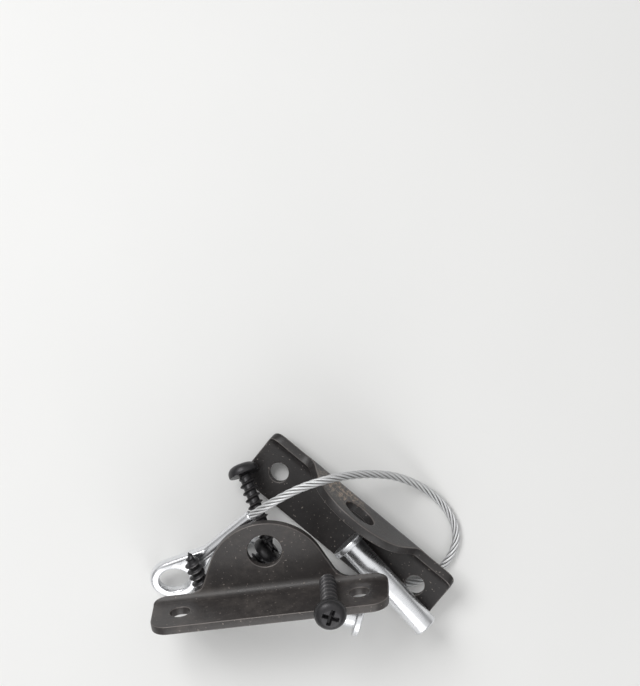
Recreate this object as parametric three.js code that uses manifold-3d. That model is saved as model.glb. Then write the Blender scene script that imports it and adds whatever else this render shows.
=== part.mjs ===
// Furniture anti tip strap: two steel angle brackets, a short wire rope between two
// swaged eye terminals, two headed pins and four wood screws, lying as a loose set.
// Millimetres, +Z up. Z = 0 is the surface that the set lies on, and the origin is
// under the middle of the box round every piece but the rope.

import * as THREE from 'three';
import { mergeVertices } from 'three/addons/utils/BufferGeometryUtils.js';
import Module from 'manifold-3d';

const wasm = await Module();
wasm.setup();

// Driving dimensions of the bracket
const sheet = 2.1;
const bracketLength = 55;
const baseWidth = 15.2;
const flangeHeight = 19;
const bendInner = 2;
const bendOuter = bendInner + sheet;
const domeRadius = 14;
const domeFlankAngle = THREE.MathUtils.degToRad(25);
const domeFootFillet = 4;
const shoulderHeight = 2.9;
const freeCornerRadius = 4;
const bendCornerRadius = 3;
const flangeHoleDiameter = 8.1;
const flangeHoleHeight = 12;
const screwHoleDiameter = 4.7;
const screwHoleSpacing = 41.6;
const screwHoleFromFlange = 8.3;

// Driving dimensions of the rope and its eye terminals
const ropeDiameter = 2;
const ropeStep = 1.2;
const touchGap = 0.3;
const ropeEndGap = 0.5;
const eyeDiameter = 11.3;
const eyeHoleDiameter = 7.1;
const eyeThickness = 2.2;
const eyeEdgeRound = 0.55;
const swageDiameter = 2.9;
const swageEnd = 26.5;
const swageStart = 7;
const neckMeetsSwage = 11.5;

// Driving dimensions of the pin
const pinHeadDiameter = 9;
const pinHeadThickness = 1.4;
const pinShankDiameter = 5.8;
const pinLength = 27.4;
const pinChamfer = 0.45;

// Driving dimensions of the screw
const screwHeadDiameter = 7.4;
const screwHeadHeight = 2.5;
const screwShankLength = 19;
const screwCoreDiameter = 2.7;
const screwThreadDiameter = 4;
const screwPitch = 1.8;
const screwPointLength = 4;
const recessSpan = 3.9;
const recessSlot = 0.95;
const recessDepth = 1.7;

// Facets round a circle
const roundFacets = 40;
const screwFacets = 20;
const holeFacets = 36;

// Where the camera axis of the layout below meets the surface, seen from the origin
const layoutOffset = new THREE.Vector3(-4.37, -45.37, 0.04);

const blackCoat = new THREE.MeshStandardMaterial({ color: 0x1d1b1a, roughness: 0.42, metalness: 0.1 });
const blackOxide = new THREE.MeshStandardMaterial({ color: 0x17171a, roughness: 0.35, metalness: 0.6 });
const brightZinc = new THREE.MeshStandardMaterial({ color: 0xd5d9dc, roughness: 0.25, metalness: 1 });
const galvanised = new THREE.MeshStandardMaterial({ color: 0xa8aaa6, roughness: 0.4, metalness: 0.9 });

// Solids for cutting and joining

function toSolid(geometry) {
  const bare = geometry.clone();
  bare.deleteAttribute('normal');
  bare.deleteAttribute('uv');
  const merged = mergeVertices(bare, 1e-4);
  const vertProperties = new Float32Array(merged.attributes.position.array);
  const triVerts = new Uint32Array(merged.index.array);
  return new wasm.Manifold(new wasm.Mesh({ numProp: 3, vertProperties, triVerts }));
}

function toGeometry(solid) {
  const mesh = solid.getMesh();
  const geometry = new THREE.BufferGeometry();
  geometry.setAttribute('position', new THREE.BufferAttribute(Float32Array.from(mesh.vertProperties), 3));
  geometry.setIndex(Array.from(mesh.triVerts));
  geometry.computeVertexNormals();
  return geometry;
}

function extrude(shape, depth, facets = 16) {
  return new THREE.ExtrudeGeometry(shape, { depth, bevelEnabled: false, curveSegments: facets });
}

// Turns a solid drawn in X and Y and extruded along Z so that it is drawn along the
// axes given as first and second and extruded along the third.
function turned(geometry, first, second, third) {
  return geometry.applyMatrix4(new THREE.Matrix4().makeBasis(first, second, third));
}

const alongX = new THREE.Vector3(1, 0, 0);
const alongY = new THREE.Vector3(0, 1, 0);
const alongZ = new THREE.Vector3(0, 0, 1);

// Bracket: X runs along it, Y from the flange to the free edge of the base, Z up the
// flange. Y = 0 is the outer face of the flange and Z = 0 the underside of the base.

function foldedSheet() {
  const section = new THREE.Shape();
  section.moveTo(baseWidth, 0);
  section.lineTo(baseWidth, sheet);
  section.absarc(bendOuter, bendOuter, bendInner, 1.5 * Math.PI, Math.PI, true);
  section.lineTo(sheet, flangeHeight);
  section.lineTo(0, flangeHeight);
  section.absarc(bendOuter, bendOuter, bendOuter, Math.PI, 1.5 * Math.PI, false);
  const bar = extrude(section, bracketLength + 2, 8).translate(0, 0, -bracketLength / 2 - 1);
  return toSolid(turned(bar, alongY, alongZ, alongX));
}

// The dome of the flange with a straight flank and a concave foot on each side, and
// the low shoulders beside it.
function flangeOutline() {
  const domeCentre = flangeHeight - domeRadius;
  const flankTop = new THREE.Vector2(
    domeRadius * Math.cos(domeFlankAngle),
    domeCentre + domeRadius * Math.sin(domeFlankAngle),
  );
  const footCentreY = shoulderHeight + domeFootFillet;
  const footCentreX = flankTop.x
    + (domeFootFillet - Math.sin(domeFlankAngle) * (footCentreY - flankTop.y)) / Math.cos(domeFlankAngle);
  const end = bracketLength / 2 + 1;
  const down = 1.5 * Math.PI;
  const outline = new THREE.Shape();
  outline.moveTo(-end, -1);
  outline.lineTo(end, -1);
  outline.lineTo(end, shoulderHeight);
  outline.absarc(footCentreX, footCentreY, domeFootFillet, down, Math.PI + domeFlankAngle, true);
  outline.absarc(0, domeCentre, domeRadius, domeFlankAngle, Math.PI - domeFlankAngle, false);
  outline.absarc(-footCentreX, footCentreY, domeFootFillet, 2 * Math.PI - domeFlankAngle, down, true);
  outline.lineTo(-end, shoulderHeight);
  const depth = baseWidth + 2;
  const block = turned(extrude(outline, depth, 20), alongX, alongZ, alongY.clone().negate());
  return toSolid(block.translate(0, baseWidth + 1, 0));
}

function baseOutline() {
  const end = bracketLength / 2;
  const quarter = Math.PI / 2;
  const outline = new THREE.Shape();
  outline.absarc(end - freeCornerRadius, baseWidth - freeCornerRadius, freeCornerRadius, 0, quarter, false);
  outline.absarc(freeCornerRadius - end, baseWidth - freeCornerRadius, freeCornerRadius, quarter, 2 * quarter, false);
  outline.absarc(bendCornerRadius - end, bendCornerRadius, bendCornerRadius, 2 * quarter, 3 * quarter, false);
  outline.absarc(end - bendCornerRadius, bendCornerRadius, bendCornerRadius, 3 * quarter, 4 * quarter, false);
  return toSolid(extrude(outline, flangeHeight + 2, 8).translate(0, 0, -1));
}

function drill(diameter, depth) {
  return new THREE.CylinderGeometry(diameter / 2, diameter / 2, depth, holeFacets);
}

function bracketGeometry() {
  let bracket = foldedSheet().intersect(flangeOutline()).intersect(baseOutline());
  const flangeHole = drill(flangeHoleDiameter, 4 * sheet).translate(0, sheet / 2, flangeHoleHeight);
  bracket = bracket.subtract(toSolid(flangeHole));
  for (const side of [-1, 1]) {
    const hole = drill(screwHoleDiameter, 4 * sheet).rotateX(Math.PI / 2);
    hole.translate(side * screwHoleSpacing / 2, screwHoleFromFlange, sheet / 2);
    bracket = bracket.subtract(toSolid(hole));
  }
  return toGeometry(bracket);
}

// Eye terminal: the middle of the eye is the origin, the eye lies in X and Y, and the
// swaged tube runs along X to swageEnd, where the rope goes in.

function eyeTerminalGeometry() {
  const rim = eyeDiameter / 2 - eyeEdgeRound;
  const neck = swageDiameter / 2 - eyeEdgeRound;
  const tangent = Math.acos((rim - neck) / neckMeetsSwage);
  const outline = new THREE.Shape();
  outline.absarc(0, 0, rim, tangent, 2 * Math.PI - tangent, false);
  outline.lineTo(neckMeetsSwage, -neck);
  outline.lineTo(neckMeetsSwage, neck);
  const hole = new THREE.Path();
  hole.absarc(0, 0, eyeHoleDiameter / 2 + eyeEdgeRound, 0, 2 * Math.PI, true);
  outline.holes.push(hole);
  const eye = new THREE.ExtrudeGeometry(outline, {
    depth: eyeThickness - 2 * eyeEdgeRound,
    bevelThickness: eyeEdgeRound,
    bevelSize: eyeEdgeRound,
    bevelSegments: 3,
    curveSegments: 24,
  }).translate(0, 0, eyeEdgeRound - eyeThickness / 2);

  const tubeRadius = swageDiameter / 2;
  const profile = [
    new THREE.Vector2(0, swageStart),
    new THREE.Vector2(tubeRadius * 0.62, swageStart),
    new THREE.Vector2(tubeRadius, swageStart + 2.2),
    new THREE.Vector2(tubeRadius, swageEnd - 0.25),
    new THREE.Vector2(tubeRadius - 0.25, swageEnd),
    new THREE.Vector2(0, swageEnd),
  ];
  const tube = new THREE.LatheGeometry(profile, 24).rotateZ(-Math.PI / 2);
  return toGeometry(toSolid(eye).add(toSolid(tube)));
}

// Pin: it stands on Z = 0 with the middle of its head's outer face at the origin, and
// the shank runs up Z.

function pinGeometry() {
  const head = pinHeadDiameter / 2;
  const shank = pinShankDiameter / 2;
  const edge = 0.4;
  const profile = [
    new THREE.Vector2(0, 0),
    new THREE.Vector2(head - edge, 0),
    new THREE.Vector2(head - edge * 0.3, edge * 0.3),
    new THREE.Vector2(head, edge),
    new THREE.Vector2(head, pinHeadThickness - edge / 2),
    new THREE.Vector2(head - edge / 2, pinHeadThickness),
    new THREE.Vector2(shank, pinHeadThickness),
    new THREE.Vector2(shank, pinLength - pinChamfer),
    new THREE.Vector2(shank - pinChamfer, pinLength),
    new THREE.Vector2(0, pinLength),
  ];
  return toGeometry(toSolid(new THREE.LatheGeometry(profile, roundFacets).rotateX(Math.PI / 2)));
}

// Screw: the middle of the underside of its head is the origin, the shank runs up Z to
// the point and the domed head with its cross recess is below.

function screwProfile() {
  const head = screwHeadDiameter / 2;
  const core = screwCoreDiameter / 2;
  const crest = screwThreadDiameter / 2;
  const profile = [new THREE.Vector2(0, -screwHeadHeight)];
  const domeSteps = 6;
  for (let i = 1; i <= domeSteps; i += 1) {
    const angle = (i / domeSteps) * Math.PI / 2;
    profile.push(new THREE.Vector2(
      head * (0.45 + 0.55 * Math.sin(angle)),
      -0.7 - (screwHeadHeight - 0.7) * Math.cos(angle),
    ));
  }
  profile.push(new THREE.Vector2(head, 0));
  profile.push(new THREE.Vector2(core, 0));
  const threadEnd = screwShankLength - screwPointLength;
  for (let foot = 1; foot + screwPitch <= threadEnd; foot += screwPitch) {
    profile.push(new THREE.Vector2(core, foot));
    profile.push(new THREE.Vector2(crest, foot + screwPitch * 0.4));
    profile.push(new THREE.Vector2(crest, foot + screwPitch * 0.55));
  }
  profile.push(new THREE.Vector2(core, threadEnd));
  profile.push(new THREE.Vector2(crest * 0.75, threadEnd + screwPitch * 0.4));
  profile.push(new THREE.Vector2(core * 0.55, threadEnd + screwPitch));
  profile.push(new THREE.Vector2(0, screwShankLength));
  return profile;
}

function screwGeometry() {
  let screw = toSolid(new THREE.LatheGeometry(screwProfile(), screwFacets).rotateX(Math.PI / 2));
  const taper = 0.45;
  for (const turn of [0, Math.PI / 2]) {
    const slot = new THREE.Shape();
    slot.moveTo(-recessSpan / 2, -1);
    slot.lineTo(recessSpan / 2, -1);
    slot.lineTo(recessSpan / 2 * taper, recessDepth);
    slot.lineTo(-recessSpan / 2 * taper, recessDepth);
    const cutter = turned(extrude(slot, recessSlot), alongX, alongZ, alongY.clone().negate());
    cutter.translate(0, recessSlot / 2, -screwHeadHeight).rotateZ(turn);
    screw = screw.subtract(toSolid(cutter));
  }
  return toGeometry(screw);
}

// Layout. Each place is in the layout's own frame, whose origin is offset from the
// set's origin by layoutOffset.

const set = new THREE.Group();

function addPiece(name, geometry, material, place) {
  const mesh = new THREE.Mesh(geometry, material);
  mesh.name = name;
  mesh.applyMatrix4(place);
  mesh.position.sub(layoutOffset);
  set.add(mesh);
}

// A bracket by the middle of its outer corner, the heading of its X axis, its roll
// about its Y axis and its tilt about its X axis, in degrees.
function bracketPlace(corner, heading, roll, tilt) {
  const toRadians = THREE.MathUtils.degToRad;
  const turn = new THREE.Euler(toRadians(tilt), toRadians(roll), toRadians(heading), 'ZYX');
  return new THREE.Matrix4().makeRotationFromEuler(turn).setPosition(corner);
}

// A turned piece by where its local Z axis starts and a point that the axis aims at.
function aimedPlace(start, target, spin = 0) {
  const direction = target.clone().sub(start).normalize();
  const turn = new THREE.Quaternion().setFromUnitVectors(alongZ, direction);
  turn.multiply(new THREE.Quaternion().setFromAxisAngle(alongZ, spin));
  return new THREE.Matrix4().makeRotationFromQuaternion(turn).setPosition(start);
}

// An eye terminal by the middle of its eye, the direction of its tube and the side
// that the flat of the eye faces.
function terminalPlace(eye, tube, face) {
  const x = tube.clone().normalize();
  const y = face.clone().cross(x).normalize();
  const z = x.clone().cross(y);
  return new THREE.Matrix4().makeBasis(x, y, z).setPosition(eye);
}

const point = (x, y, z) => new THREE.Vector3(x, y, z);

const bracket = bracketGeometry();
const frontPlace = bracketPlace(point(-11.2, -58.5, 10.45), 186.8, 3.7, 69.6);
const rearPlace = bracketPlace(point(11.7, -37.3, 5.42), 140.5, 3.3, -14.4);
addPiece('bracket_front', bracket, blackCoat, frontPlace);
addPiece('bracket_rear', bracket.clone(), blackCoat, rearPlace);

const eyeLeft = point(-34.48, -55.6, 4.45);
const tubeLeft = point(0.703, 0.588, 0.4).normalize();
const mouthRight = point(8.9, -57.1, 1.5);
const tubeRight = point(0.975, -0.22, 0).normalize();
const eyeRight = mouthRight.clone().addScaledVector(tubeRight, -swageEnd);
const terminal = eyeTerminalGeometry();
addPiece('eye_terminal_left', terminal, brightZinc, terminalPlace(eyeLeft, tubeLeft, point(0.06, -0.6, 0.8)));
addPiece('eye_terminal_right', terminal.clone(), brightZinc, terminalPlace(eyeRight, tubeRight, point(0, 0, 1)));

const pin = pinGeometry();
const pinHeadRest = point(-2.1, 8.95, sheet + touchGap + pinHeadDiameter / 2).applyMatrix4(rearPlace);
const pinEndRest = point(-30.4, 13.4, sheet + touchGap + pinShankDiameter / 2).applyMatrix4(rearPlace);
addPiece('pin_right', pin, brightZinc, aimedPlace(pinHeadRest, pinEndRest));
addPiece('pin_front', pin.clone(), brightZinc, aimedPlace(point(9.9, -65.2, 4.6), point(-13.8, -58.7, 5.2)));

const screw = screwGeometry();
addPiece('screw_left', screw, blackOxide, aimedPlace(point(-17.8, -31.0, 6.9), point(-11.1, -48.4, 11.0), 0.3));
addPiece('screw_lower_left', screw.clone(), blackOxide, aimedPlace(point(-25.5, -64.1, 3.85), point(-31.2, -46.9, 14.6), 0.7));
const troughRest = sheet + touchGap + screwThreadDiameter / 2;
const uprightTip = point(-13.6, sheet + touchGap, troughRest).applyMatrix4(frontPlace);
const uprightHead = point(-14.6, sheet + touchGap + screwShankLength, troughRest).applyMatrix4(frontPlace);
addPiece('screw_upright', screw.clone(), blackOxide, aimedPlace(uprightHead, uprightTip, 0.5));
addPiece('screw_under', screw.clone(), blackOxide, aimedPlace(point(-13.0, -49.6, 7.5), point(-26.8, -61.5, 2.1), 0.2));

// The rope leaves the left terminal, passes over the rear bracket's dome, turns back
// on the surface and goes under that bracket's right end to the right terminal.
const mouthLeft = eyeLeft.clone().addScaledVector(tubeLeft, swageEnd);
const ropeStart = mouthLeft.clone().addScaledVector(tubeLeft, ropeEndGap);
const ropeEnd = mouthRight.clone().addScaledVector(tubeRight, ropeEndGap);
const ropeRoute = [
  point(-12.0, -37.4, 17.9), point(-8.8, -35.5, 19.1), point(-5.9, -34.0, 19.5), point(-3.0, -32.8, 19.5),
  point(-0.1, -31.9, 19.3), point(2.8, -31.2, 18.2), point(5.7, -30.8, 16.2), point(8.6, -30.6, 13.8),
  point(11.5, -30.6, 11.4), point(14.6, -30.9, 9.1), point(17.4, -31.4, 6.9), point(20.6, -32.5, 4.8),
  point(23.5, -33.9, 3.0), point(26.2, -35.6, 1.8), point(28.6, -37.7, 1.2), point(30.6, -40.3, 1.05),
  point(32.1, -43.4, 1.05), point(32.5, -46.5, 1.05), point(31.7, -49.6, 1.05), point(29.9, -52.5, 1.05),
  point(27.3, -54.7, 1.05), point(24.3, -56.3, 1.05), point(21.2, -57.2, 1.05), point(18.1, -57.7, 1.1),
  point(15.0, -57.8, 1.1), point(12.2, -57.6, 1.2),
];
const ropePath = new THREE.CatmullRomCurve3([ropeStart, ...ropeRoute, ropeEnd], false, 'centripetal');

function ropeGeometry() {
  const section = new THREE.Shape();
  const sides = 8;
  for (let i = 0; i < sides; i += 1) {
    const angle = (i / sides) * 2 * Math.PI;
    const x = ropeDiameter / 2 * Math.cos(angle);
    const y = ropeDiameter / 2 * Math.sin(angle);
    if (i === 0) section.moveTo(x, y);
    else section.lineTo(x, y);
  }
  const steps = Math.round(ropePath.getLength() / (ropeStep * ropeDiameter));
  return new THREE.ExtrudeGeometry(section, { steps, extrudePath: ropePath, bevelEnabled: false });
}

addPiece('cable', ropeGeometry(), galvanised, new THREE.Matrix4());

export default set;
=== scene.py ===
"""Dresses a loose furniture anti tip kit: angle brackets, a wire rope, pins and screws."""

import math

import bmesh
import bpy
from bpy.props import FloatProperty, FloatVectorProperty, IntProperty, PointerProperty
from mathutils import Euler, Matrix, Quaternion, Vector
from mathutils.geometry import delaunay_2d_cdt


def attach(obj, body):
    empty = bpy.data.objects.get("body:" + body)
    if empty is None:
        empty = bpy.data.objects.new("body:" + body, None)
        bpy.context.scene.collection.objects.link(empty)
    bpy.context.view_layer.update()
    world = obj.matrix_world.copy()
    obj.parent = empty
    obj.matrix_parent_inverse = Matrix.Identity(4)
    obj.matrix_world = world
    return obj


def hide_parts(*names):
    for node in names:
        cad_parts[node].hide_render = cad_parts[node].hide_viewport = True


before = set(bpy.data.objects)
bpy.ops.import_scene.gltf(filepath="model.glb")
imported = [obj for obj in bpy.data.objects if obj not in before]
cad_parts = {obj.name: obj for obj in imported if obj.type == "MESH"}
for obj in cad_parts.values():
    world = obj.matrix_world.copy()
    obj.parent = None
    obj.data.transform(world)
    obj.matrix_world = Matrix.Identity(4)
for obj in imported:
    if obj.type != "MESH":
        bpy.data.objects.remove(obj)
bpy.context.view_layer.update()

bl_info = {
    "name": "Anti Tip Kit",
    "version": (1, 0, 0),
    "blender": (4, 5, 0),
    "location": "3D View > Sidebar > Anti Tip Kit",
    "description": "Builds the brackets, rope, pins and screws of a furniture anti tip kit",
    "category": "Add Mesh",
}

MM = 0.001

# The room left between pieces that touch
TOUCH_GAP = 0.0003

# The layout's own origin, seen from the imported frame's origin. Every place below is in
# the layout frame, in metres.
LAYOUT_OFFSET = Vector((-0.00437, -0.04537, 0.00004))


def spot(x, y, z):
    """A point of the layout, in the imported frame."""
    return Vector((x, y, z)) - LAYOUT_OFFSET


# Sizes that a user would change


def length_property(name, description, default):
    """A size in metres."""
    return FloatProperty(
        name=name, description=description, default=default, min=0.00001, unit="LENGTH", precision=5
    )


def colour_property(name, description, default):
    """A linear colour."""
    return FloatVectorProperty(
        name=name, description=description, default=default, size=3, min=0.0, max=1.0, subtype="COLOR"
    )


class BracketSizes(bpy.types.PropertyGroup):
    """Sizes of the folded steel brackets."""

    sheet: length_property("Sheet", "Thickness of the steel sheet", 0.0021)
    length: length_property("Length", "Length along the bend", 0.055)
    base_width: length_property("Base width", "Width of the base from the flange's outer face", 0.0152)
    flange_height: length_property("Flange height", "Height of the domed flange", 0.019)
    bend_inner: length_property("Inner bend radius", "Radius inside the bend", 0.002)
    dome_radius: length_property("Dome radius", "Radius of the flange's top", 0.014)
    foot_fillet: length_property("Foot fillet", "Radius where the dome meets the shoulder", 0.004)
    shoulder_height: length_property("Shoulder height", "Height of the flange beside the dome", 0.0029)
    free_corner: length_property("Free corner radius", "Radius of the base's free corners", 0.004)
    bend_corner: length_property("Bend corner radius", "Radius of the corners at the bend", 0.003)
    flange_hole: length_property("Flange hole", "Diameter of the hole in the flange", 0.0081)
    flange_hole_height: length_property("Flange hole height", "Height of that hole's middle", 0.012)
    screw_hole: length_property("Screw hole", "Diameter of the holes in the base", 0.0047)
    screw_hole_spacing: length_property("Screw hole spacing", "Distance between those holes", 0.0416)
    screw_hole_from_flange: length_property("Screw hole inset", "Distance from the flange", 0.0083)
    coat: colour_property("Coat", "Colour of the black coat", (0.034, 0.030, 0.029))
    # Painted shadow: the rear bracket's coat colour is darker to stand in for the shadow it lies in.
    painted_shadow_coat: colour_property("Shaded coat", "Colour of the darker rear coat", (0.014, 0.012, 0.012))
    bare: colour_property("Bare edge", "Colour where the coat is worn thin", (0.22, 0.20, 0.19))
    dust: colour_property("Dust", "Colour of the dust on the coat", (0.34, 0.30, 0.27))
    scuff: colour_property("Scuff", "Colour of the rubbed patch by the rope", (0.38, 0.28, 0.20))


class RopeSizes(bpy.types.PropertyGroup):
    """Sizes of the wire rope."""

    diameter: length_property("Diameter", "Diameter over the strands", 0.002)
    lay: length_property("Lay length", "Length of one turn of a strand", 0.0126)
    wire_lay: length_property("Wire lay", "Length of one turn of the wires in a strand", 0.0045)
    step: length_property("Step", "Distance between rings of points", 0.00026)
    strands: IntProperty(name="Strands", description="Strands round the core", default=6, min=3, max=8)
    wires: IntProperty(name="Wires", description="Outer wires in a strand", default=6, min=3, max=12)
    steel: colour_property("Wire", "Colour of the galvanised wire", (0.74, 0.75, 0.76))
    # Painted shade: the darker colour between the wires stands in for the shade in the grooves.
    painted_groove_shade: colour_property("Groove", "Colour between the wires", (0.42, 0.415, 0.41))


class TerminalSizes(bpy.types.PropertyGroup):
    """Sizes of the swaged eye terminals."""

    eye: length_property("Eye", "Outer diameter of the eye", 0.0113)
    eye_hole: length_property("Eye hole", "Diameter of the hole", 0.0071)
    thickness: length_property("Thickness", "Thickness of the eye", 0.0022)
    edge_round: length_property("Edge rounding", "Rounding of the eye's edges", 0.00055)
    swage: length_property("Swage", "Diameter of the swaged tube", 0.0029)
    swage_start: length_property("Swage start", "Where the tube leaves the eye", 0.007)
    swage_end: length_property("Swage end", "Where the rope goes in", 0.0265)
    neck_end: length_property("Neck end", "Where the flat neck ends", 0.0115)
    voxel: length_property("Voxel", "Cell size of the blend between eye and tube", 0.00013)


class PinSizes(bpy.types.PropertyGroup):
    """Sizes of the headed pins."""

    head: length_property("Head", "Diameter of the head", 0.009)
    head_thickness: length_property("Head thickness", "Thickness of the head", 0.0014)
    shank: length_property("Shank", "Diameter of the shank", 0.0058)
    length: length_property("Length", "Length over the head", 0.0274)
    chamfer: length_property("Chamfer", "Chamfer at the shank's end", 0.00045)
    zinc: colour_property("Zinc", "Colour of the bright zinc plating", (0.80, 0.81, 0.83))
    tarnish: colour_property("Tarnish", "Colour of the duller patches", (0.50, 0.51, 0.52))


class ScrewSizes(bpy.types.PropertyGroup):
    """Sizes of the wood screws."""

    head: length_property("Head", "Diameter of the pan head", 0.0074)
    head_height: length_property("Head height", "Height of the pan head", 0.0025)
    shank: length_property("Shank length", "Length under the head", 0.019)
    core: length_property("Core", "Diameter of the core", 0.0027)
    thread: length_property("Thread", "Diameter over the thread", 0.004)
    pitch: length_property("Pitch", "Distance between threads", 0.0018)
    point: length_property("Point", "Length of the point", 0.004)
    recess_span: length_property("Recess span", "Span of the cross recess", 0.0039)
    recess_slot: length_property("Recess slot", "Width of a slot of the recess", 0.00095)
    recess_depth: length_property("Recess depth", "Depth of the recess", 0.0017)
    oxide: colour_property("Oxide", "Colour of the black oxide", (0.030, 0.029, 0.031))
    rubbed: colour_property("Rubbed", "Colour where the oxide is thin", (0.09, 0.085, 0.085))


class StageSettings(bpy.types.PropertyGroup):
    """Camera, floor and light."""

    camera_height: length_property("Camera height", "Height of the camera above the floor", 0.49995)
    lens: FloatProperty(name="Lens", description="Focal length in millimetres", default=109.8, min=1.0)
    floor: colour_property("Floor", "Colour of the floor", (0.86, 0.86, 0.85))
    sky: FloatProperty(name="Sky", description="Strength of the sky light", default=0.5, min=0.0)
    key: FloatProperty(name="Key", description="Power of the key light in watts", default=1.3, min=0.0)
    fill: FloatProperty(name="Fill", description="Power of the fill in watts", default=0.9, min=0.0)


# Shader maths


class Value:
    """An output socket. Arithmetic on it adds Math nodes."""

    def __init__(self, shader, socket):
        self.shader = shader
        self.socket = socket

    def math(self, operation, left, right):
        return self.shader.node("ShaderNodeMath", {"operation": operation}, {0: left, 1: right})

    def __add__(self, other):
        return self.math("ADD", self, other)

    def __sub__(self, other):
        return self.math("SUBTRACT", self, other)

    def __mul__(self, other):
        return self.math("MULTIPLY", self, other)

    def __truediv__(self, other):
        return self.math("DIVIDE", self, other)

    def __radd__(self, other):
        return self.math("ADD", other, self)

    def __rsub__(self, other):
        return self.math("SUBTRACT", other, self)

    def __rmul__(self, other):
        return self.math("MULTIPLY", other, self)


class Shader:
    """A material or world under construction."""

    def __init__(self, owner, coordinates=None):
        self.owner = owner
        owner.use_nodes = True
        self.tree = owner.node_tree
        self.tree.nodes.clear()
        if coordinates:
            self.place = self.node("ShaderNodeTexCoord", output=coordinates)
        else:
            self.place = self.node(
                "ShaderNodeAttribute", {"attribute_name": "own_place"}, output="Vector"
            )

    def node(self, kind, settings=None, inputs=None, output=0):
        """Adds a node, sets it up, feeds its sockets and gives one of its outputs, if it has any."""
        made = self.tree.nodes.new(kind)
        for key, value in (settings or {}).items():
            setattr(made, key, value)
        for key, value in (inputs or {}).items():
            if isinstance(value, Value):
                self.tree.links.new(value.socket, made.inputs[key])
            else:
                made.inputs[key].default_value = value
        return Value(self, made.outputs[output]) if made.outputs else None

    def noise(self, size, detail=3.0, roughness=0.5, place=None):
        """Noise from 0 to 1 whose largest features are size metres across."""
        return self.node(
            "ShaderNodeTexNoise",
            inputs={
                "Vector": place or self.place,
                "Scale": 1 / size,
                "Detail": detail,
                "Roughness": roughness,
            },
        )

    def stretched(self, x, y, z):
        """The piece's own coordinates, multiplied along each axis."""
        return self.node(
            "ShaderNodeVectorMath", {"operation": "MULTIPLY"}, {0: self.place, 1: (x, y, z)}
        )

    def distance(self, point):
        """How far the surface is from a point, in metres."""
        operands = {0: self.place, 1: point}
        return self.node("ShaderNodeVectorMath", {"operation": "DISTANCE"}, operands, output="Value")

    def rise(self, value, start, end):
        """A smooth step from 0 at start to 1 at end."""
        return self.node(
            "ShaderNodeMapRange",
            {"interpolation_type": "SMOOTHSTEP"},
            {"Value": value, "From Min": start, "From Max": end, "To Min": 0.0, "To Max": 1.0},
        )

    def attribute(self, name):
        """A number kept on the mesh's points."""
        return self.node("ShaderNodeAttribute", {"attribute_name": name}, output="Fac")

    def mix(self, factor, below, above):
        """One colour over another."""
        return self.node(
            "ShaderNodeMix", {"data_type": "RGBA"}, {0: factor, 6: below, 7: above}, output=2
        )

    def bump(self, height, distance):
        """A normal from a height of 0 to 1 that stands for that many metres."""
        return self.node(
            "ShaderNodeBump", inputs={"Height": height, "Distance": distance}, output="Normal"
        )

    def finish(self, **sockets):
        """Ends the material in a Principled shader and gives the material."""
        inputs = {name.replace("_", " "): value for name, value in sockets.items()}
        surface = self.node("ShaderNodeBsdfPrincipled", inputs=inputs)
        self.node("ShaderNodeOutputMaterial", inputs={"Surface": surface})
        return self.owner


def opaque(colour):
    """A colour property as the four numbers that a socket takes."""
    return (*colour, 1.0)


def black_coat(sizes, scuffed_and_shadowed):
    """Satin black coat with dust, worn edges and, on one bracket, a rubbed patch and a painted shadow: a
    darker coat under a thinner dust film.
    """
    name = "black_coat_scuffed" if scuffed_and_shadowed else "black_coat"
    shader = Shader(bpy.data.materials.new(name))
    cloud = shader.noise(0.009, 4.0, 0.6)
    grain = shader.noise(0.00022, 2.0)
    patches = shader.noise(0.0016, 5.0, 0.65)
    specks = shader.rise(shader.noise(0.00055, 1.5, 0.4), 0.695, 0.75)
    # On the rear bracket the thinner dust film and the darker coat paint the shadow it lies in.
    film = 0.03 if scuffed_and_shadowed else 0.16
    dust = shader.rise(cloud * 0.6 + patches * 0.4, 0.42, 0.72) * film + specks * 0.6
    edge = shader.attribute("edge")
    worn = shader.rise(edge * (0.35 + patches), 0.42, 0.86) * 0.6
    coat = sizes.painted_shadow_coat if scuffed_and_shadowed else sizes.coat
    colour = shader.mix(dust, opaque(coat), opaque(sizes.dust))
    if scuffed_and_shadowed:
        middle = Vector((0.0066, 0.0, 0.0080))
        near = 1 - shader.rise(shader.distance(middle), 0.003, 0.009)
        streaks = shader.noise(0.0009, 5.0, 0.8, shader.stretched(0.8, 1.0, 0.45))
        depth = shader.node("ShaderNodeSeparateXYZ", inputs={"Vector": shader.place}, output="Y")
        outer_face = 1 - shader.rise(depth, 0.0001, 0.0006)
        rubbed = near * outer_face * shader.rise(streaks, 0.46, 0.60) * 0.8
        colour = shader.mix(rubbed, colour, opaque(sizes.scuff))
    colour = shader.mix(worn, colour, opaque(sizes.bare))
    roughness = 0.30 + cloud * 0.12 + patches * 0.10 + dust * 0.5
    return shader.finish(
        Base_Color=colour,
        Roughness=roughness,
        Metallic=worn * 0.8,
        Normal=shader.bump(grain * 0.5 + patches, 0.00005),
    )


def bright_zinc(sizes, name, rings_along):
    """Bright zinc plating with fine marks round one axis and a few duller patches."""
    shader = Shader(bpy.data.materials.new(name))
    marks = shader.noise(0.0006, 3.0, 0.6, shader.stretched(*rings_along))
    dull = shader.rise(shader.noise(0.0045, 4.0, 0.6), 0.48, 0.72)
    fine = shader.noise(0.00025, 2.0)
    pits = shader.rise(shader.noise(0.0007, 1.0), 0.70, 0.78)
    colour = shader.mix(dull * 0.30 + pits * 0.25, opaque(sizes.zinc), opaque(sizes.tarnish))
    return shader.finish(
        Base_Color=colour,
        Roughness=0.22 + dull * 0.10 + marks * 0.12 + pits * 0.2,
        Metallic=1.0,
        Normal=shader.bump(marks * 0.7 + fine * 0.3, 0.000014),
    )


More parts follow.
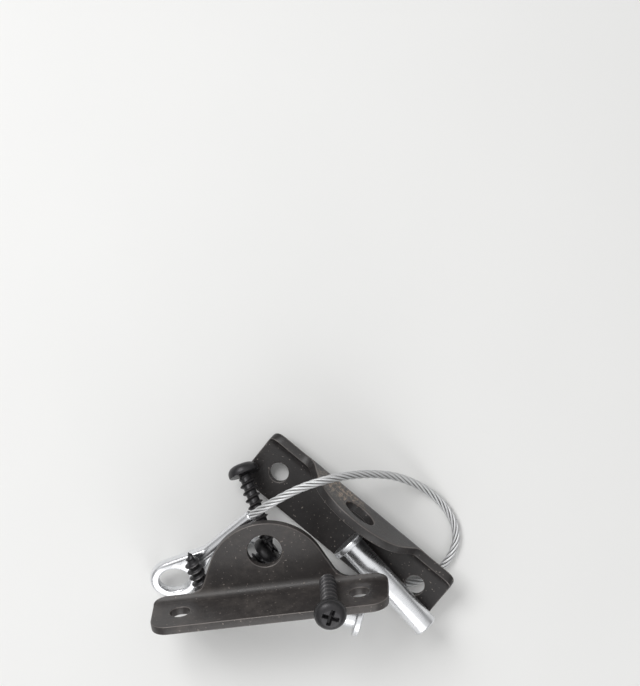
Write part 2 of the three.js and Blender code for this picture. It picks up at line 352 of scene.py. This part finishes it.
def black_oxide(sizes):
    """Black oxide, rubbed brighter where the thread and the head stand proud."""
    shader = Shader(bpy.data.materials.new("black_oxide"))
    patches = shader.noise(0.0012, 4.0, 0.6)
    fine = shader.noise(0.0002, 2.0)
    proud = shader.attribute("proud")
    rubbed = shader.rise(proud * (0.45 + patches), 0.5, 0.95) * 0.7
    return shader.finish(
        Base_Color=shader.mix(rubbed, opaque(sizes.oxide), opaque(sizes.rubbed)),
        Roughness=0.26 + patches * 0.2,
        Metallic=0.5,
        Normal=shader.bump(fine, 0.00002),
    )


def galvanised_wire(sizes):
    """Drawn galvanised wire, with painted shade in the grooves between wires and strands."""
    shader = Shader(bpy.data.materials.new("galvanised_wire"))
    grey = shader.noise(0.0022, 3.0, 0.6)
    fine = shader.noise(0.00018, 2.0)
    # Painted shade: where the wire surface sits low, in the grooves, it takes the darker groove colour.
    proud = shader.rise(shader.attribute("proud"), 0.15, 0.85)
    bright = shader.mix(grey * 0.35, opaque(sizes.steel), opaque([0.7 * part for part in sizes.steel]))
    return shader.finish(
        Base_Color=shader.mix(proud, opaque(sizes.painted_groove_shade), bright),
        Roughness=0.42 + grey * 0.14,
        Metallic=0.7,
        Normal=shader.bump(fine, 0.00001),
    )


# Meshes


def add_object(name, mesh, place, material, node):
    """Puts a finished mesh in the scene in the place of one node. The mesh keeps its points
    before the move as own_place, which the materials use."""
    own_place = mesh.attributes.new("own_place", "FLOAT_VECTOR", "POINT")
    own_place.data.foreach_set("vector", [part for vertex in mesh.vertices for part in vertex.co])
    mesh.transform(place)
    piece = bpy.data.objects.new(name, mesh)
    bpy.context.scene.collection.objects.link(piece)
    if not mesh.materials:
        mesh.materials.append(material)
    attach(piece, "root")
    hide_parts(node)
    return piece


def mesh_from(name, bm, smooth_below=35.0):
    """A mesh with outward normals, smooth across edges under that many degrees."""
    bmesh.ops.recalc_face_normals(bm, faces=bm.faces)
    for face in bm.faces:
        face.smooth = True
    for edge in bm.edges:
        edge.smooth = not edge.is_manifold or edge.calc_face_angle(0.0) < math.radians(smooth_below)
    mesh = bpy.data.meshes.new(name)
    bm.to_mesh(mesh)
    bm.free()
    return mesh


def arc(centre, radius, start, end, steps):
    """Points on an arc, angles in degrees, radius one number or one for each axis."""
    across, up = radius if isinstance(radius, tuple) else (radius, radius)
    points = []
    for i in range(steps + 1):
        angle = math.radians(start + (end - start) * i / steps)
        points.append((centre[0] + across * math.cos(angle), centre[1] + up * math.sin(angle)))
    return points


def evened(loop, spacing):
    """A closed outline again, with its points about that far apart."""
    points = [Vector(point) for point in loop]
    lengths = [(points[i] - points[i - 1]).length for i in range(len(points))]
    even = []
    for i, end in enumerate(points):
        start = points[i - 1]
        steps = max(1, round(lengths[i] / spacing))
        for k in range(1, steps + 1):
            even.append(start.lerp(end, k / steps))
    return [point for i, point in enumerate(even) if (point - even[i - 1]).length > 0.05 * spacing]


def inset(loop, amount):
    """An outline moved to its left by that much."""
    moved = []
    for i, point in enumerate(loop):
        ahead = (loop[(i + 1) % len(loop)] - point).normalized()
        behind = (point - loop[i - 1]).normalized()
        along = (ahead + behind).normalized()
        moved.append(point + Vector((-along.y, along.x)) * amount)
    return moved


def inside(point, loop):
    """Whether a point is inside a closed outline."""
    crossed = False
    for i, end in enumerate(loop):
        start = loop[i - 1]
        if (start.y > point.y) != (end.y > point.y):
            if point.x < start.x + (point.y - start.y) * (end.x - start.x) / (end.y - start.y):
                crossed = not crossed
    return crossed


def edge_rounding(half, outer_round, inner_round):
    """The inset and depth of each ring over a sheet's edge, from the outer face to the
    inner one, for a sheet of that half thickness."""
    steps = 4
    rings = []
    for i in range(steps + 1):
        angle = math.pi / 2 * i / steps
        rings.append((outer_round * (1 - math.sin(angle)), outer_round * (1 - math.cos(angle)) - half))
    for i in range(steps, -1, -1):
        angle = math.pi / 2 * i / steps
        rings.append((inner_round * (1 - math.sin(angle)), half - inner_round * (1 - math.cos(angle))))
    return rings


def plate_mesh(name, outer, holes, rounding, grid, place):
    """A sheet with rounded edges. The outer outline runs anticlockwise and the holes
    clockwise, rounding lists an inset and a depth for each ring from the outer face to
    the inner one, and place gives the point for an outline point and a depth."""
    bm = bmesh.new()
    edge_layer = bm.verts.layers.float.new("edge")
    loops = [outer] + holes
    rings = []
    for amount, depth in rounding:
        ring = []
        for loop in loops:
            ring.append([bm.verts.new(place(point, depth)) for point in inset(loop, amount)])
        rings.append(ring)
    for ring, (amount, depth) in zip(rings[1:-1], rounding[1:-1]):
        for loop in ring:
            for vertex in loop:
                vertex[edge_layer] = 1.0 if amount > 0.001 * MM else 0.0
    for lower, upper in zip(rings, rings[1:]):
        for low, high in zip(lower, upper):
            for i, vertex in enumerate(low):
                bm.faces.new((low[i - 1], vertex, high[i], high[i - 1]))
    for ring, (amount, depth) in ((rings[0], rounding[0]), (rings[-1], rounding[-1])):
        edges = [inset(loop, amount) for loop in loops]
        close = [inset(loop, amount + 0.25 * MM) for loop in loops]
        points = [point for loop in edges for point in loop]
        fixed = len(points)
        joined = []
        first = 0
        for loop in edges:
            joined += [(first + i, first + (i + 1) % len(loop)) for i in range(len(loop))]
            first += len(loop)
        keep_in = inset(outer, amount + 0.6 * MM)
        keep_out = [inset(loop, amount + 0.6 * MM) for loop in holes]
        points += [point for loop in close for point in loop]
        for point in grid:
            if inside(point, keep_in) and not any(inside(point, loop) for loop in keep_out):
                points.append(point)
        flat, _, faces, origins, _, _ = delaunay_2d_cdt(points, joined, [], 0, 1e-7)
        ring_verts = [vertex for loop in ring for vertex in loop]
        made = []
        for point, origin in zip(flat, origins):
            known = [i for i in origin if i < fixed]
            made.append(ring_verts[known[0]] if known else bm.verts.new(place(point, depth)))
        for face in faces:
            middle = sum((flat[i] for i in face), Vector((0.0, 0.0))) / len(face)
            if inside(middle, edges[0]) and not any(inside(middle, loop) for loop in edges[1:]):
                corners = [made[i] for i in face]
                if len(set(corners)) == 3:
                    bm.faces.new(corners)
    loose = [vertex for vertex in bm.verts if not vertex.link_faces]
    bmesh.ops.delete(bm, geom=loose, context="VERTS")
    return mesh_from(name, bm, 60.0)


def lathe(bm, profile, around, turn=Matrix.Identity(4)):
    """A solid of revolution about Z from radius and height pairs that start and end on
    the axis."""
    rings = []
    for radius, height in profile:
        if radius < 1e-9:
            rings.append([bm.verts.new(turn @ Vector((0, 0, height)))])
            continue
        ring = []
        for k in range(around):
            angle = 2 * math.pi * k / around
            point = Vector((radius * math.cos(angle), radius * math.sin(angle), height))
            ring.append(bm.verts.new(turn @ point))
        rings.append(ring)
    skin(bm, rings)


def skin(bm, rings):
    """Faces between rings of points, where a ring may be a single point."""
    for lower, upper in zip(rings, rings[1:]):
        count = max(len(lower), len(upper))
        for k in range(count):
            after = (k + 1) % count
            corners = [lower[k % len(lower)], lower[after % len(lower)]]
            corners += [upper[after % len(upper)], upper[k % len(upper)]]
            bm.faces.new(list(dict.fromkeys(corners)))


def baked(piece):
    """The piece's mesh with its modifiers applied."""
    bpy.context.view_layer.update()
    evaluated = piece.evaluated_get(bpy.context.evaluated_depsgraph_get())
    return bpy.data.meshes.new_from_object(evaluated)


def aimed(start, target, spin=0.0):
    """The place of a turned piece from where its Z axis starts and a point it aims at."""
    turn = Vector((0, 0, 1)).rotation_difference((target - start).normalized())
    return Matrix.LocRotScale(start, turn @ Quaternion((0, 0, 1), spin), None)


def bracket_place(corner, heading, roll, tilt):
    """A bracket's place from its outer corner's middle and three angles in degrees."""
    turn = Euler([math.radians(angle) for angle in (tilt, roll, heading)], "XYZ")
    return Matrix.LocRotScale(corner, turn, None)


FRONT_BRACKET = bracket_place(spot(-0.0112, -0.0585, 0.01045), 186.8, 3.7, 69.6)
REAR_BRACKET = bracket_place(spot(0.0117, -0.0373, 0.00542), 140.5, 3.3, -14.4)

LEFT_EYE = spot(-0.03448, -0.0556, 0.00445)
LEFT_TUBE = Vector((0.703, 0.588, 0.4)).normalized()
LEFT_FACE = Vector((0.06, -0.6, 0.8))
RIGHT_MOUTH = spot(0.0089, -0.0571, 0.0015)
RIGHT_TUBE = Vector((0.975, -0.22, 0.0)).normalized()
RIGHT_FACE = Vector((0.0, 0.0, 1.0))

# The rope's route between the two terminals' mouths
ROPE_ROUTE = [
    spot(-0.0120, -0.0374, 0.0179),
    spot(-0.0088, -0.0355, 0.0191),
    spot(-0.0059, -0.0340, 0.0195),
    spot(-0.0030, -0.0328, 0.0195),
    spot(-0.0001, -0.0319, 0.0193),
    spot(0.0028, -0.0312, 0.0182),
    spot(0.0057, -0.0308, 0.0162),
    spot(0.0086, -0.0306, 0.0138),
    spot(0.0115, -0.0306, 0.0114),
    spot(0.0146, -0.0309, 0.0091),
    spot(0.0174, -0.0314, 0.0069),
    spot(0.0206, -0.0325, 0.0048),
    spot(0.0235, -0.0339, 0.0030),
    spot(0.0262, -0.0356, 0.0018),
    spot(0.0286, -0.0377, 0.0012),
    spot(0.0306, -0.0403, 0.00105),
    spot(0.0321, -0.0434, 0.00105),
    spot(0.0325, -0.0465, 0.00105),
    spot(0.0317, -0.0496, 0.00105),
    spot(0.0299, -0.0525, 0.00105),
    spot(0.0273, -0.0547, 0.00105),
    spot(0.0243, -0.0563, 0.00105),
    spot(0.0212, -0.0572, 0.00105),
    spot(0.0181, -0.0577, 0.0011),
    spot(0.0150, -0.0578, 0.0011),
    spot(0.0122, -0.0576, 0.0012),
]


# Rope


def rope_line(points, step):
    """Points a step apart on a smooth curve through the route's points."""
    before = points[0] * 2 - points[1]
    after = points[-1] * 2 - points[-2]
    route = [before, *points, after]
    line = []
    for a, b, c, d in zip(route, route[1:], route[2:], route[3:]):
        knots = [0.0]
        for start, end in ((a, b), (b, c), (c, d)):
            knots.append(knots[-1] + (end - start).length ** 0.5)
        pieces = max(4, math.ceil((c - b).length / step * 4))
        for i in range(pieces):
            t = knots[1] + (knots[2] - knots[1]) * i / pieces
            line.append(between_knots((a, b, c, d), knots, t))
    line.append(points[-1].copy())
    return walked(line, step)


def between_knots(corners, knots, t):
    """The point at t on the centripetal curve through four points."""
    layer = list(corners)
    for width in (1, 2):
        shares = [(t - low) / (high - low) for low, high in zip(knots, knots[width:])]
        layer = [start.lerp(end, share) for start, end, share in zip(layer, layer[1:], shares)]
    return layer[0].lerp(layer[1], (t - knots[1]) / (knots[2] - knots[1]))


def walked(line, step):
    """A line again, with its points an even step apart."""
    total = sum((end - start).length for start, end in zip(line, line[1:]))
    count = round(total / step)
    even = [line[0].copy()]
    passed = 0.0
    for start, end in zip(line, line[1:]):
        span = (end - start).length
        while len(even) < count and passed + span >= total * len(even) / count:
            even.append(start.lerp(end, (total * len(even) / count - passed) / span))
        passed += span
    even.append(line[-1].copy())
    return even


def carried_frames(line):
    """The direction and a sideways vector at each point, without twist."""
    directions = []
    for i in range(len(line)):
        directions.append((line[min(i + 1, len(line) - 1)] - line[max(i - 1, 0)]).normalized())
    side = directions[0].orthogonal().normalized()
    frames = []
    for direction in directions:
        side = (side - direction * side.dot(direction)).normalized()
        frames.append((direction, side, direction.cross(side)))
    return frames


def strand(bm, proud_layer, line, frames, sizes, offset, phase):
    """One strand of wires, wound round the line at that offset."""
    radius = sizes.diameter / 6
    lobe = 0.13
    groove_depth = 0.62
    proud_span = 0.34
    points_round = sizes.wires * 4
    rings = []
    for i, (centre, (_, side, up)) in enumerate(zip(line, frames)):
        travelled = i * sizes.step
        turn = phase + 2 * math.pi * travelled / sizes.lay
        out = side * math.cos(turn) + up * math.sin(turn)
        middle = centre + out * offset
        ring = []
        for k in range(points_round):
            angle = 2 * math.pi * k / points_round
            wire = math.cos(sizes.wires * (angle + 2 * math.pi * travelled / sizes.wire_lay))
            reach = radius * (1 - lobe * (1 - wire) / 2)
            around = side * math.cos(angle) + up * math.sin(angle)
            vertex = bm.verts.new(middle + around * reach)
            height = (vertex.co - centre).length / (sizes.diameter / 2)
            risen = max(0.0, min(1.0, (height - groove_depth) / proud_span))
            # How far the point stands proud; the rope's material paints shade where this is low.
            vertex[proud_layer] = risen * (0.45 + 0.55 * (1 + wire) / 2)
            ring.append(vertex)
        rings.append(ring)
    skin(bm, rings)
    bm.faces.new(rings[0])
    bm.faces.new(rings[-1])


# Screw


def screw_radius(sizes, height, angle):
    """The radius of the threaded shank, and how far up the thread it is from 0 to 1."""
    core = sizes.core / 2
    taper = max(0.0, (height - (sizes.shank - sizes.point)) / sizes.point)
    body = core * max(0.03, 1 - taper ** 1.4)
    phase = (height / sizes.pitch - angle / (2 * math.pi)) % 1.0
    away = min(phase, 1 - phase) * sizes.pitch
    crest_flat = 0.05 * MM
    flank = 0.36 * MM
    thread = max(0.0, 1 - max(0.0, away - crest_flat) / flank)
    start_fade = min(1.0, height / sizes.pitch)
    end_fade = min(1.0, max(0.0, (sizes.shank - height) / (0.8 * sizes.point)))
    fade = start_fade * end_fade
    return body + (sizes.thread / 2 - core) * thread * fade, thread * fade


def head_top(sizes, radius, angle):
    """The height of the pan head's top with its cross recess."""
    reach = sizes.head / 2
    flat_share = 0.45
    rim = 0.7 * MM
    share = radius / reach
    height = -sizes.head_height
    if share > flat_share:
        lean = math.asin(min(1.0, (share - flat_share) / (1 - flat_share)))
        height = -rim - (sizes.head_height - rim) * math.cos(lean)
    x = abs(radius * math.cos(angle))
    y = abs(radius * math.sin(angle))
    arm = max(x - sizes.recess_span / 2, y - sizes.recess_slot / 2)
    other_arm = max(y - sizes.recess_span / 2, x - sizes.recess_slot / 2)
    wall = 0.16 * MM
    sunk = max(0.0, min(1.0, -min(arm, other_arm) / wall))
    depth = sizes.recess_depth * (1 - 0.5 * radius / (sizes.recess_span / 2))
    return height + sunk * depth


def screw_mesh(sizes):
    """A pan head wood screw: origin under the head, shank up Z, head below."""
    bm = bmesh.new()
    proud = bm.verts.layers.float.new("proud")
    around = 96
    angles = [2 * math.pi * k / around for k in range(around)]
    rings = [[bm.verts.new((0, 0, head_top(sizes, 0.0, 0.0)))]]
    head_rings = 40
    for i in range(1, head_rings + 1):
        radius = sizes.head / 2 * i / head_rings
        ring = []
        for angle in angles:
            height = head_top(sizes, radius, angle)
            vertex = bm.verts.new((radius * math.cos(angle), radius * math.sin(angle), height))
            vertex[proud] = 0.55 if radius > sizes.recess_span / 2 else 0.35
            ring.append(vertex)
        rings.append(ring)
    under = [
        (sizes.head / 2, -0.2 * MM),
        (sizes.head / 2 - 0.15 * MM, 0.0),
        (sizes.core / 2 + 0.25 * MM, 0.0),
    ]
    for radius, height in under:
        ring = []
        for angle in angles:
            ring.append(bm.verts.new((radius * math.cos(angle), radius * math.sin(angle), height)))
        rings.append(ring)
    rise = 0.1 * MM
    for i in range(1, round(sizes.shank / rise)):
        ring = []
        for angle in angles:
            radius, thread = screw_radius(sizes, i * rise, angle)
            vertex = bm.verts.new((radius * math.cos(angle), radius * math.sin(angle), i * rise))
            vertex[proud] = thread
            ring.append(vertex)
        rings.append(ring)
    rings.append([bm.verts.new((0, 0, sizes.shank))])
    skin(bm, rings)
    return mesh_from("screw", bm, 50.0)


# Bracket


def bracket_mesh(sizes):
    """A folded bracket: X along it, Y from the flange to the base's free edge, Z up."""
    sheet = sizes.sheet
    bend_outer = sizes.bend_inner + sheet
    bend_middle = bend_outer - sheet / 2
    base_end = sizes.base_width - bend_outer
    flange_start = base_end + bend_middle * math.pi / 2

    def folded(point, depth):
        if point.y <= base_end:
            return Vector((point.x, sizes.base_width - point.y, sheet / 2 + depth))
        if point.y >= flange_start:
            return Vector((point.x, sheet / 2 + depth, bend_outer + point.y - flange_start))
        angle = (point.y - base_end) / bend_middle
        radius = bend_middle - depth
        y = bend_outer - radius * math.sin(angle)
        z = bend_outer - radius * math.cos(angle)
        return Vector((point.x, y, z))

    def along_sheet(height):
        """How far round the sheet a height of the flange is."""
        if height >= bend_outer:
            return flange_start + height - bend_outer
        return base_end + bend_middle * math.acos((bend_outer - height) / bend_middle)

    end = sizes.length / 2
    flank = 25.0
    dome_centre = sizes.flange_height - sizes.dome_radius
    foot_y = sizes.shoulder_height + sizes.foot_fillet
    slope = math.radians(flank)
    flank_x = sizes.dome_radius * math.cos(slope)
    flank_y = dome_centre + sizes.dome_radius * math.sin(slope)
    foot_x = flank_x + (sizes.foot_fillet - math.sin(slope) * (foot_y - flank_y)) / math.cos(slope)
    shoulder = along_sheet(sizes.shoulder_height)
    bend_corner_up = 0.8 * sizes.bend_corner
    free_corner = (end - sizes.free_corner, sizes.free_corner)
    bend_corner = (end - sizes.bend_corner, shoulder - bend_corner_up)
    right = arc(free_corner, sizes.free_corner, -90, 0, 10)
    right += arc(bend_corner, (sizes.bend_corner, bend_corner_up), 0, 90, 8)
    foot = arc((foot_x, foot_y), sizes.foot_fillet, 270, 180 + flank, 10)
    dome = arc((0.0, dome_centre), sizes.dome_radius, flank, 90, 24)
    right += [(x, along_sheet(height)) for x, height in foot + dome]
    left = [(-x, y) for x, y in reversed(right[:-1])]
    outer = evened(right + left, 0.6 * MM)

    def hole(x, y, diameter, steps):
        return [Vector(point) for point in arc((x, y), diameter / 2, 360, 0, steps)[:-1]]

    screw_y = sizes.base_width - sizes.screw_hole_from_flange
    holes = [hole(0.0, along_sheet(sizes.flange_hole_height), sizes.flange_hole, 64)]
    for side in (-1, 1):
        holes.append(hole(side * sizes.screw_hole_spacing / 2, screw_y, sizes.screw_hole, 44))

    rounding = edge_rounding(sheet / 2, 0.34 * MM, 0.22 * MM)
    grid = []
    y = 0.5 * MM
    while y < along_sheet(sizes.flange_height):
        in_bend = base_end - 0.5 * MM < y < flange_start + 0.5 * MM
        spacing = 0.5 * MM if in_bend else 1.3 * MM
        for i in range(-round(end / spacing), round(end / spacing) + 1):
            grid.append(Vector((i * spacing, y)))
        y += spacing
    return plate_mesh("bracket", outer, holes, rounding, grid, folded)


# Terminal


def terminal_mesh(sizes):
    """An eye terminal: the eye's middle at the origin, the tube along X."""
    eye = sizes.eye / 2
    neck = sizes.swage / 2
    tangent = math.degrees(math.acos((eye - neck) / sizes.neck_end))
    outline = arc((0, 0), eye, tangent, 360 - tangent, 80)
    outline += [(sizes.neck_end, -neck), (sizes.neck_end, neck)]
    hole = [Vector(point) for point in arc((0, 0), sizes.eye_hole / 2, 360, 0, 72)[:-1]]
    rounding = edge_rounding(sizes.thickness / 2, sizes.edge_round, sizes.edge_round)

    def flat(point, depth):
        return Vector((*point, depth))

    plate = plate_mesh("terminal", evened(outline, 0.35 * MM), [hole], rounding, [], flat)
    bm = bmesh.new()
    bm.from_mesh(plate)
    radius = sizes.swage / 2
    lip = 0.3 * MM
    profile = [
        (0.0, sizes.swage_start),
        (radius * 0.62, sizes.swage_start),
        (radius, sizes.swage_start + 2.2 * MM),
        (radius, sizes.swage_end - lip),
        (radius - 0.3 * lip, sizes.swage_end - 0.3 * lip),
        (radius - lip, sizes.swage_end),
        (0.0, sizes.swage_end),
    ]
    lathe(bm, profile, 64, Matrix.Rotation(math.pi / 2, 4, "Y"))
    bm.to_mesh(plate)
    bm.free()
    blend = bpy.data.objects.new("terminal_blend", plate)
    bpy.context.scene.collection.objects.link(blend)
    remesh = blend.modifiers.new("Blend", "REMESH")
    remesh.mode = "VOXEL"
    remesh.voxel_size = sizes.voxel
    remesh.use_smooth_shade = True
    smooth = blend.modifiers.new("Soften", "SMOOTH")
    smooth.factor = 0.5
    smooth.iterations = 6
    mesh = baked(blend)
    mesh.name = "terminal"
    bpy.data.objects.remove(blend)
    return mesh


def terminal_place(eye, tube, face):
    """A terminal's place from its eye, its tube's direction and the side it faces."""
    side = face.cross(tube).normalized()
    up = tube.cross(side)
    return Matrix.Translation(eye) @ Matrix((tube, side, up)).transposed().to_4x4()


# Pin


def pin_mesh(sizes):
    """A headed pin that stands on its head's outer face, shank up Z."""
    head = sizes.head / 2
    shank = sizes.shank / 2
    edge = 0.4 * MM
    profile = [(0.0, 0.0), (head - edge, 0.0)]
    for i in range(1, 6):
        angle = math.pi / 2 * i / 5
        profile.append((head - edge * (1 - math.sin(angle)), edge * (1 - math.cos(angle))))
    rim = sizes.head_thickness
    for i in range(1, 4):
        angle = math.pi / 2 * i / 3
        profile.append((head - edge / 2 * (1 - math.cos(angle)), rim - edge / 2 * (1 - math.sin(angle))))
    profile += [
        (shank + 0.15 * MM, rim),
        (shank, rim + 0.15 * MM),
        (shank, sizes.length - sizes.chamfer),
        (shank - 0.3 * sizes.chamfer, sizes.length - 0.55 * sizes.chamfer),
        (shank - sizes.chamfer, sizes.length),
        (0.55 * shank, sizes.length),
        (0.0, sizes.length - 0.15 * MM),
    ]
    bm = bmesh.new()
    lathe(bm, profile, 96)
    return mesh_from("pin", bm, 40.0)


# Operators


class ANTITIP_OT_stage(bpy.types.Operator):
    """Adds the camera, the floor and the lights"""

    bl_idname = "antitip.stage"
    bl_label = "Stage"

    def execute(self, context):
        settings = context.scene.antitip_stage
        scene = context.scene
        scene.view_settings.view_transform = "Standard"
        self.add_camera(scene, settings)
        self.add_floor(scene, settings)
        self.add_sky(scene, settings)
        self.add_lamp(scene, "key", settings.key, (-0.22, 0.22, 0.42), 0.26)
        self.add_lamp(scene, "fill", settings.fill, (0.06, -0.42, 0.20), 0.34)
        return {"FINISHED"}

    def add_camera(self, scene, settings):
        camera = bpy.data.cameras.new("camera")
        camera.sensor_fit = "VERTICAL"
        camera.sensor_height = 36.0
        camera.lens = settings.lens
        holder = bpy.data.objects.new("camera", camera)
        above = spot(0.0, 0.0, 0.0)
        holder.location = (above.x, above.y, settings.camera_height)
        scene.collection.objects.link(holder)
        scene.camera = holder

    def add_floor(self, scene, settings):
        bm = bmesh.new()
        bmesh.ops.create_grid(bm, x_segments=8, y_segments=8, size=1.5)
        floor = bpy.data.objects.new("floor", mesh_from("floor", bm))
        shader = Shader(bpy.data.materials.new("pale_floor"), "Object")
        cloud = shader.noise(0.05, 3.0)
        shade = [0.97 * part for part in settings.floor]
        floor.data.materials.append(
            shader.finish(
                Base_Color=shader.mix(cloud, opaque(settings.floor), opaque(shade)),
                Roughness=0.62 + cloud * 0.1,
            )
        )
        scene.collection.objects.link(floor)

    def add_sky(self, scene, settings):
        world = bpy.data.worlds.new("studio")
        sky = Shader(world, "Generated")
        camera = sky.node("ShaderNodeLightPath", output="Is Camera Ray")
        glossy = sky.node("ShaderNodeLightPath", output="Is Glossy Ray")
        through = sky.node("ShaderNodeLightPath", output="Is Transmission Ray")
        up = sky.node("ShaderNodeSeparateXYZ", inputs={"Vector": sky.place}, output="Z")
        mirrored = glossy.math("MAXIMUM", glossy, through) * (1 - camera)
        softbox = 0.22 + sky.rise(up, 0.15, 0.9) * 0.78
        strength = camera + mirrored * softbox + (1 - camera - mirrored) * settings.sky
        white = (1.0, 1.0, 1.0, 1.0)
        light = sky.node("ShaderNodeBackground", inputs={"Color": white, "Strength": strength})
        sky.node("ShaderNodeOutputWorld", inputs={"Surface": light})
        scene.world = world

    def add_lamp(self, scene, name, power, place, size):
        light = bpy.data.lights.new(name, "AREA")
        light.shape = "SQUARE"
        light.size = size
        light.energy = power
        lamp = bpy.data.objects.new(name, light)
        lamp.location = place
        lamp.rotation_euler = (-Vector(place)).to_track_quat("-Z", "Y").to_euler()
        lamp.visible_camera = False
        scene.collection.objects.link(lamp)


class ANTITIP_OT_rope(bpy.types.Operator):
    """Winds the wire rope along its route"""

    bl_idname = "antitip.rope"
    bl_label = "Wire rope"

    def execute(self, context):
        sizes = context.scene.antitip_rope
        terminal = context.scene.antitip_terminal
        left_mouth = LEFT_EYE + LEFT_TUBE * terminal.swage_end
        line = rope_line([left_mouth, *ROPE_ROUTE, RIGHT_MOUTH], sizes.step)
        frames = carried_frames(line)
        bm = bmesh.new()
        proud = bm.verts.layers.float.new("proud")
        strand(bm, proud, line, frames, sizes, 0.0, 0.0)
        for k in range(sizes.strands):
            strand(bm, proud, line, frames, sizes, sizes.diameter / 3, 2 * math.pi * k / sizes.strands)
        mesh = mesh_from("wire_rope", bm, 70.0)
        rope = add_object(
            "wire_rope", mesh, Matrix.Identity(4), galvanised_wire(sizes), "cable"
        )
        length = sum((end - start).length for start, end in zip(line, line[1:]))
        [tuple(point) for point in line[::4] + [line[-1]]]
        return {"FINISHED"}


class ANTITIP_OT_brackets(bpy.types.Operator):
    """Folds the two black brackets"""

    bl_idname = "antitip.brackets"
    bl_label = "Brackets"

    def execute(self, context):
        sizes = context.scene.antitip_bracket
        mesh = bracket_mesh(sizes)
        for node, place, scuffed_and_shadowed in (
            ("bracket_front", FRONT_BRACKET, False),
            # The rear bracket takes the rubbed patch and the painted shadow.
            ("bracket_rear", REAR_BRACKET, True),
        ):
            coat = black_coat(sizes, scuffed_and_shadowed)
            add_object(f"{node}_steel", mesh.copy(), place, coat, node)
        return {"FINISHED"}


class ANTITIP_OT_terminals(bpy.types.Operator):
    """Forms the two eye terminals"""

    bl_idname = "antitip.terminals"
    bl_label = "Eye terminals"

    def execute(self, context):
        sizes = context.scene.antitip_terminal
        zinc = bright_zinc(context.scene.antitip_pin, "bright_zinc_terminal", (0.12, 1.0, 1.0))
        mesh = terminal_mesh(sizes)
        right_eye = RIGHT_MOUTH - RIGHT_TUBE * sizes.swage_end
        for node, place in (
            ("eye_terminal_left", terminal_place(LEFT_EYE, LEFT_TUBE, LEFT_FACE)),
            ("eye_terminal_right", terminal_place(right_eye, RIGHT_TUBE, RIGHT_FACE)),
        ):
            add_object(f"{node}_swaged", mesh.copy(), place, zinc, node)
        return {"FINISHED"}


class ANTITIP_OT_pins(bpy.types.Operator):
    """Turns the two headed pins"""

    bl_idname = "antitip.pins"
    bl_label = "Pins"

    def execute(self, context):
        sizes = context.scene.antitip_pin
        bracket = context.scene.antitip_bracket
        zinc = bright_zinc(sizes, "bright_zinc_pin", (0.5, 0.5, 4.0))
        mesh = pin_mesh(sizes)
        plate = bracket.sheet + TOUCH_GAP
        head = REAR_BRACKET @ Vector((-0.0021, 0.00895, plate + sizes.head / 2))
        tip = REAR_BRACKET @ Vector((-0.0304, 0.0134, plate + sizes.shank / 2))
        for node, place in (
            ("pin_right", aimed(head, tip)),
            ("pin_front", aimed(spot(0.0099, -0.0652, 0.0046), spot(-0.0138, -0.0587, 0.0052))),
        ):
            add_object(f"{node}_turned", mesh.copy(), place, zinc, node)
        return {"FINISHED"}


class ANTITIP_OT_screws(bpy.types.Operator):
    """Threads the four wood screws"""

    bl_idname = "antitip.screws"
    bl_label = "Screws"

    def execute(self, context):
        sizes = context.scene.antitip_screw
        bracket = context.scene.antitip_bracket
        oxide = black_oxide(sizes)
        mesh = screw_mesh(sizes)
        trough = bracket.sheet + TOUCH_GAP + sizes.thread / 2
        foot = bracket.sheet + TOUCH_GAP
        upright_tip = FRONT_BRACKET @ Vector((-0.0136, foot, trough))
        upright_head = FRONT_BRACKET @ Vector((-0.0146, foot + sizes.shank, trough))
        for node, start, target, spin in (
            ("screw_left", spot(-0.0178, -0.0310, 0.0069), spot(-0.0111, -0.0484, 0.0110), 0.3),
            ("screw_lower_left", spot(-0.0255, -0.0641, 0.00385), spot(-0.0312, -0.0469, 0.0146), 0.7),
            ("screw_upright", upright_head, upright_tip, 0.5),
            ("screw_under", spot(-0.0130, -0.0496, 0.0075), spot(-0.0268, -0.0615, 0.0021), 0.2),
        ):
            place = aimed(start, target, spin)
            add_object(f"{node}_threaded", mesh.copy(), place, oxide, node)
        return {"FINISHED"}


class ANTITIP_PT_panel(bpy.types.Panel):
    bl_label = "Anti Tip Kit"
    bl_idname = "ANTITIP_PT_panel"
    bl_space_type = "VIEW_3D"
    bl_region_type = "UI"
    bl_category = "Anti Tip Kit"

    def draw(self, context):
        for operator in OPERATORS:
            self.layout.operator(operator.bl_idname)


SETTINGS = {
    "antitip_bracket": BracketSizes,
    "antitip_rope": RopeSizes,
    "antitip_terminal": TerminalSizes,
    "antitip_pin": PinSizes,
    "antitip_screw": ScrewSizes,
    "antitip_stage": StageSettings,
}

OPERATORS = (
    ANTITIP_OT_stage,
    ANTITIP_OT_rope,
    ANTITIP_OT_brackets,
    ANTITIP_OT_terminals,
    ANTITIP_OT_pins,
    ANTITIP_OT_screws,
)


def register():
    for name, settings in SETTINGS.items():
        bpy.utils.register_class(settings)
        setattr(bpy.types.Scene, name, PointerProperty(type=settings))
    for operator in OPERATORS:
        bpy.utils.register_class(operator)
    bpy.utils.register_class(ANTITIP_PT_panel)


def unregister():
    bpy.utils.unregister_class(ANTITIP_PT_panel)
    for operator in reversed(OPERATORS):
        bpy.utils.unregister_class(operator)
    for name, settings in SETTINGS.items():
        delattr(bpy.types.Scene, name)
        bpy.utils.unregister_class(settings)


def main():
    register()
    bpy.ops.antitip.stage()
    bpy.ops.antitip.rope()
    bpy.ops.antitip.brackets()
    bpy.ops.antitip.terminals()
    bpy.ops.antitip.pins()
    bpy.ops.antitip.screws()


if __name__ == "__main__":
    main()
